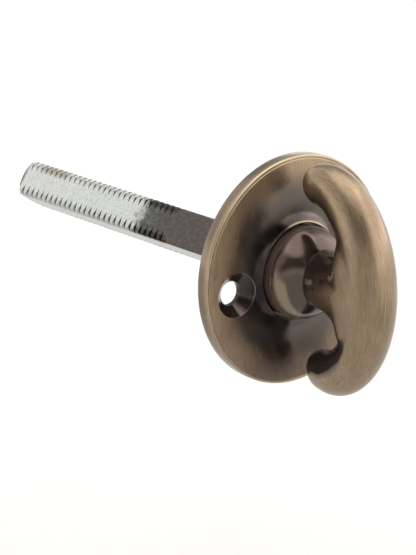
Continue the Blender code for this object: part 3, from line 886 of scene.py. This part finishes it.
def stem_rings(sides=56, notch_steps=30):
    """Full oval sections from inside the hub, round the notches, into the grip."""
    sections = [
        (HUB_EDGE, STEM_WAIST, STEM_HALF_WIDTH + STEM_FLARE, 2.0),
        (NOTCH_CENTRE - STEM_FLARE_END, STEM_WAIST, STEM_HALF_WIDTH + STEM_FLARE_LEFT * STEM_FLARE, 2.0),
    ]
    for i in range(notch_steps + 1):
        a = math.radians(90) * i / notch_steps
        reach = NOTCH_CENTRE + NOTCH_LENGTH * math.sin(a)
        half_height = STEM_WAIST + NOTCH_RISE * (1 - math.cos(a))
        fullness = 2.0 + (WEB_FULLNESS - 2.0) * i / notch_steps
        sections.append((reach, half_height, STEM_HALF_WIDTH, fullness))
    sections.append((WEB_REACH, WEB_HALF_HEIGHT, STEM_HALF_WIDTH, WEB_FULLNESS))
    for reach, half_height, inset in WEB_IN_GRIP:
        sections.append((reach, half_height, STEM_HALF_WIDTH - inset, WEB_IN_GRIP_FULLNESS))
    rings = []
    for reach, half_height, half_width, fullness in sections:
        ring = []
        for a in full_circle(sides):
            x = math.copysign(abs(math.cos(a)) ** (2 / fullness), math.cos(a))
            z = math.copysign(abs(math.sin(a)) ** (2 / fullness), math.sin(a))
            ring.append(Vector((half_width * x, -reach, half_height * z)))
        rings.append(ring)
    return rings


def relax(mesh, rounds, fill_only=False):
    """Moves each vertex towards the mean of its neighbours, or only outwards, to fill the hollows."""
    count = len(mesh.vertices)
    points = np.empty(count * 3)
    mesh.vertices.foreach_get("co", points)
    points = points.reshape(-1, 3)
    ends = np.empty(len(mesh.edges) * 2, dtype=np.int64)
    mesh.edges.foreach_get("vertices", ends)
    ends = ends.reshape(-1, 2)
    near = np.concatenate([ends[:, 1], ends[:, 0]])
    own = np.concatenate([ends[:, 0], ends[:, 1]])
    degree = np.bincount(own, minlength=count)
    for done in range(rounds):
        if fill_only and done % ROUNDS_PER_NORMAL == 0:
            mesh.vertices.foreach_set("co", points.ravel())
            mesh.update()
            normals = np.array([vertex.normal for vertex in mesh.vertices])
            keep = blend_weights(points)
        mean = [np.bincount(own, points[near, k], count) / degree for k in range(3)]
        step = 0.5 * (np.stack(mean, axis=1) - points)
        if fill_only:
            step = normals * (np.clip((step * normals).sum(axis=1), 0, None) * keep)[:, None]
        points += step
    mesh.vertices.foreach_set("co", points.ravel())
    mesh.update()


def blend_weights(points):
    """Full where the stem runs into the grip, fading out along the arms and towards the hub."""
    depth, height = -points[:, 1], np.abs(points[:, 2])
    off_hub = np.clip((depth - BLEND_DEPTH) / BLEND_DEPTH_FADE, 0, 1)
    off_arms = np.clip((BLEND_HEIGHT - height) / BLEND_HEIGHT_FADE, 0, 1)
    return off_hub * off_arms


def hub_profile(dome_steps=40):
    """Domed hub with an eased edge, side wall, base and grooved shank."""
    low = HUB_DOME_START
    full_rise = math.sin(HUB_DOME_TOP) - math.sin(low)
    dome = []
    for i in range(dome_steps + 1):
        a = low + (HUB_DOME_END - low) * i / dome_steps
        radius = HUB_RADIUS * (math.cos(a) / math.cos(low)) ** HUB_DOME_CURVE
        rise = (math.sin(a) - math.sin(low)) / full_rise
        dome.append((radius, -HUB_EDGE - (HUB_CROWN - HUB_EDGE) * rise))
    crown = (0, -HUB_CROWN + 0.05 * MM)  # inside the stem
    base = -(HUB_SEAT + GAP)
    wall = HUB_RADIUS - HUB_WALL_INSET
    side = [(HUB_RADIUS + out, -HUB_EDGE + back) for out, back in HUB_EASE]
    side += [(wall, base - BORE_CHAMFER), (wall - BORE_CHAMFER, base)]
    groove = SHANK_RADIUS - RING_GROOVE_DEPTH
    shank = [
        (SHANK_RADIUS, base),
        (SHANK_RADIUS, ring_low.y - GAP),
        (groove, ring_low.y - GAP),
        (groove, ring_high.y + GAP),
        (SHANK_RADIUS, ring_high.y + GAP),
    ]
    shank += [(SHANK_RADIUS - inset, turn_high.y - short) for inset, short in SHANK_EASE]
    return [crown] + dome[::-1] + side + shank + [(0, turn_high.y)]


def make_turn():
    turn = mesh_object("crescent_turn", lofted(grip_rings()))
    boolean(turn, mesh_object("stem", lofted(stem_rings())), "UNION")
    remesh = turn.modifiers.new("even", "REMESH")
    remesh.mode = "VOXEL"
    remesh.voxel_size = VOXEL
    apply_modifiers(turn)
    relax(turn.data, rounds=12)
    relax(turn.data, rounds=160, fill_only=True)
    relax(turn.data, rounds=4)
    boolean(turn, mesh_object("hub", turned(hub_profile(), 192, closed=False)), "UNION")
    socket = square_rings([spindle_low.y - GAP, turn_high.y + MM], GAP)
    boolean(turn, mesh_object("socket", lofted(socket)), "DIFFERENCE")
    smooth_between_edges(turn, 34)
    take_finish(turn, turn_finish())
    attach(turn, "turn")
    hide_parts("turn_handle")


# ---------------------------------------------------------------- spindle


def square_ring(y, half, corner_radii, corner_steps=8, flat_steps=3):
    """A square section, its corners cut back to the given radii and its flats in a few steps."""
    corners = []
    for k, radius in enumerate(corner_radii):
        edge = math.acos(min(half / radius, 1.0))
        middle = SPINDLE_CLOCK + k * math.tau / 4
        spread = math.radians(45) - edge
        angles = [middle - spread + 2 * spread * i / corner_steps for i in range(corner_steps + 1)]
        corners.append([Vector((radius * math.cos(a), y, radius * math.sin(a))) for a in angles])
    ring = []
    for k, corner in enumerate(corners):
        ring += corner
        following = corners[(k + 1) % 4][0]
        ring += [corner[-1].lerp(following, i / flat_steps) for i in range(1, flat_steps)]
    return ring


def square_rings(heights, offset=0.0):
    corners = [SPINDLE_CORNER + offset] * 4
    return [square_ring(y, SPINDLE_HALF + offset, corners) for y in heights]


def thread_radius(y, corner):
    """A right-hand ridge with a flat crest and root, that fades in at its start."""
    turns = (y - THREAD_START) / THREAD_PITCH + corner / 4
    rise = abs(2 * (turns % 1.0) - 1)
    ridge = share((rise - THREAD_ROOT_SHARE) / THREAD_SLOPE_SHARE)
    full = THREAD_ROOT + (THREAD_CREST - THREAD_ROOT) * ridge
    fade = share((y - THREAD_START) / THREAD_PITCH)
    return SPINDLE_CORNER + (full - SPINDLE_CORNER) * fade


def make_spindle(plain_steps=8):
    end = spindle_high.y
    heights = [spindle_low.y + SPINDLE_PLAIN_LENGTH * i / plain_steps for i in range(plain_steps + 1)]
    rings = square_rings(heights)
    step = THREAD_PITCH / RINGS_PER_PITCH
    start = THREAD_START - THREAD_PITCH
    for y in [start + i * step for i in range(int((end - start) / step))] + [end]:
        past = share((y - end + SPINDLE_END_ROUND) / SPINDLE_END_ROUND)
        limit = THREAD_CREST - (THREAD_CREST - SPINDLE_END_RADIUS) * past**SPINDLE_END_CURVE
        corners = [min(thread_radius(y, k), limit) for k in range(4)]
        rings.append(square_ring(y, SPINDLE_HALF, corners))
    spindle = mesh_object("square_spindle", lofted(rings), 40)
    take_finish(spindle, zinc_finish())
    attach(spindle, "turn")
    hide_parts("spindle")


# ---------------------------------------------------------------- hidden retainers


def finish_retainers():
    finishes = {
        "thrust_washer": plain_metal(
            "stamped_brass",
            light=(0.78, 0.62, 0.34, 1),
            dark=(0.42, 0.31, 0.16, 1),
            roughness=0.34,
            stretch=(5000, 5000, 600),
        ),
        "retaining_ring": plain_metal(
            "spring_steel",
            light=(0.16, 0.16, 0.17, 1),
            dark=(0.06, 0.058, 0.055, 1),
            roughness=0.36,
            stretch=(4000, 900, 4000),
        ),
        "spindle_pin": plain_metal(
            "pin_steel",
            light=(0.62, 0.62, 0.61, 1),
            dark=(0.35, 0.34, 0.33, 1),
            roughness=0.30,
            stretch=(3000, 3000, 3000),
        ),
    }
    for node, finish in finishes.items():
        take_finish(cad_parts[node], finish)


# ---------------------------------------------------------------- studio

CAMERA_AZIMUTH = math.radians(-39.19)
CAMERA_ELEVATION = math.radians(18.67)
CAMERA_ROLL = math.radians(-1.93)
CAMERA_DISTANCE = 371.1 * MM
CAMERA_LEFT = 14.06 * MM
CAMERA_DOWN = 1.88 * MM
CAMERA_SENSOR_WIDTH = 36.0
CAMERA_LENS = 136.6

FLOOR_DROP = 60 * MM
FLOOR_HALF_SIZE = 6.0
FLOOR_DARK = (0.62, 0.62, 0.62, 1)
FLOOR_LIGHT = (0.64, 0.64, 0.64, 1)

SKY_COLOUR = (1.0, 0.985, 0.965, 1)
SKY_GLOW_Z = (0.36, 0.0)  # the room brightens from this height down to the horizon
SKY_GLOW = (0.16, 1.5)
SKY_PANELS = (
    # towards, half angle of full light, half angle of no light, strength
    ((0.0, -0.08, 1.0), 27, 42, 2.15),
    ((0.72, -0.60, 0.33), 33, 56, 2.15),
    ((0.60, 0.78, 0.10), 35, 72, 0.45),
    ((-0.62, 0.66, 0.42), 34, 56, 0.95),
)


def make_camera():
    """From the left and above, through a long lens."""
    back = Vector(
        (
            math.sin(CAMERA_AZIMUTH) * math.cos(CAMERA_ELEVATION),
            -math.cos(CAMERA_AZIMUTH) * math.cos(CAMERA_ELEVATION),
            math.sin(CAMERA_ELEVATION),
        )
    )
    level = (-back).cross(Vector((0, 0, 1))).normalized()
    upright = back.cross(level)
    right = math.cos(CAMERA_ROLL) * level + math.sin(CAMERA_ROLL) * upright
    up = math.cos(CAMERA_ROLL) * upright - math.sin(CAMERA_ROLL) * level
    data = bpy.data.cameras.new("camera")
    camera = bpy.data.objects.new("camera", data)
    bpy.context.scene.collection.objects.link(camera)
    place = back * CAMERA_DISTANCE - right * CAMERA_LEFT - up * CAMERA_DOWN
    camera.matrix_world = Matrix.Translation(place) @ Matrix((right, up, back)).transposed().to_4x4()
    data.sensor_width = CAMERA_SENSOR_WIDTH
    data.lens = CAMERA_LENS
    data.clip_start = 0.01
    data.clip_end = 20.0
    bpy.context.scene.camera = camera


def make_floor():
    bm = bmesh.new()
    bmesh.ops.create_grid(bm, x_segments=1, y_segments=1, size=FLOOR_HALF_SIZE)
    bmesh.ops.translate(bm, verts=bm.verts, vec=(0, 0, cad_low.z - FLOOR_DROP))
    floor = mesh_object("floor", bm)
    g = Graph(bpy.data.materials.new("pale_floor"))
    g.set("Base Color", g.mix(g.noise((3, 3, 3), detail=2.0), FLOOR_DARK, FLOOR_LIGHT))
    g.set("Roughness", 0.9)
    g.set("Specular IOR Level", 0.0)
    take_finish(floor, g.owner)


def make_world():
    """A dim room with soft light overhead, to the right, behind on the right and behind on the left."""
    world = bpy.data.worlds.new("studio")
    bpy.context.scene.world = world
    g = Graph(world, "Background", "Generated")
    total = g.ramp(g.axes()[2], *SKY_GLOW_Z, *SKY_GLOW)
    for towards, inner, outer, strength in SKY_PANELS:
        direction = Vector(towards).normalized()
        facing = g.node("ShaderNodeVectorMath", {0: g.coords, 1: direction}, operation="DOT_PRODUCT")
        edge = (math.cos(math.radians(outer)), math.cos(math.radians(inner)))
        total = g.add(g.ramp(facing.outputs["Value"], *edge, 0.0, strength), total)
    g.set("Color", SKY_COLOUR)
    g.set("Strength", total)


def make_studio():
    make_camera()
    make_floor()
    make_world()
    bpy.context.scene.view_settings.view_transform = "Standard"


make_studio()
make_rose()
make_turn()
make_spindle()
finish_retainers()
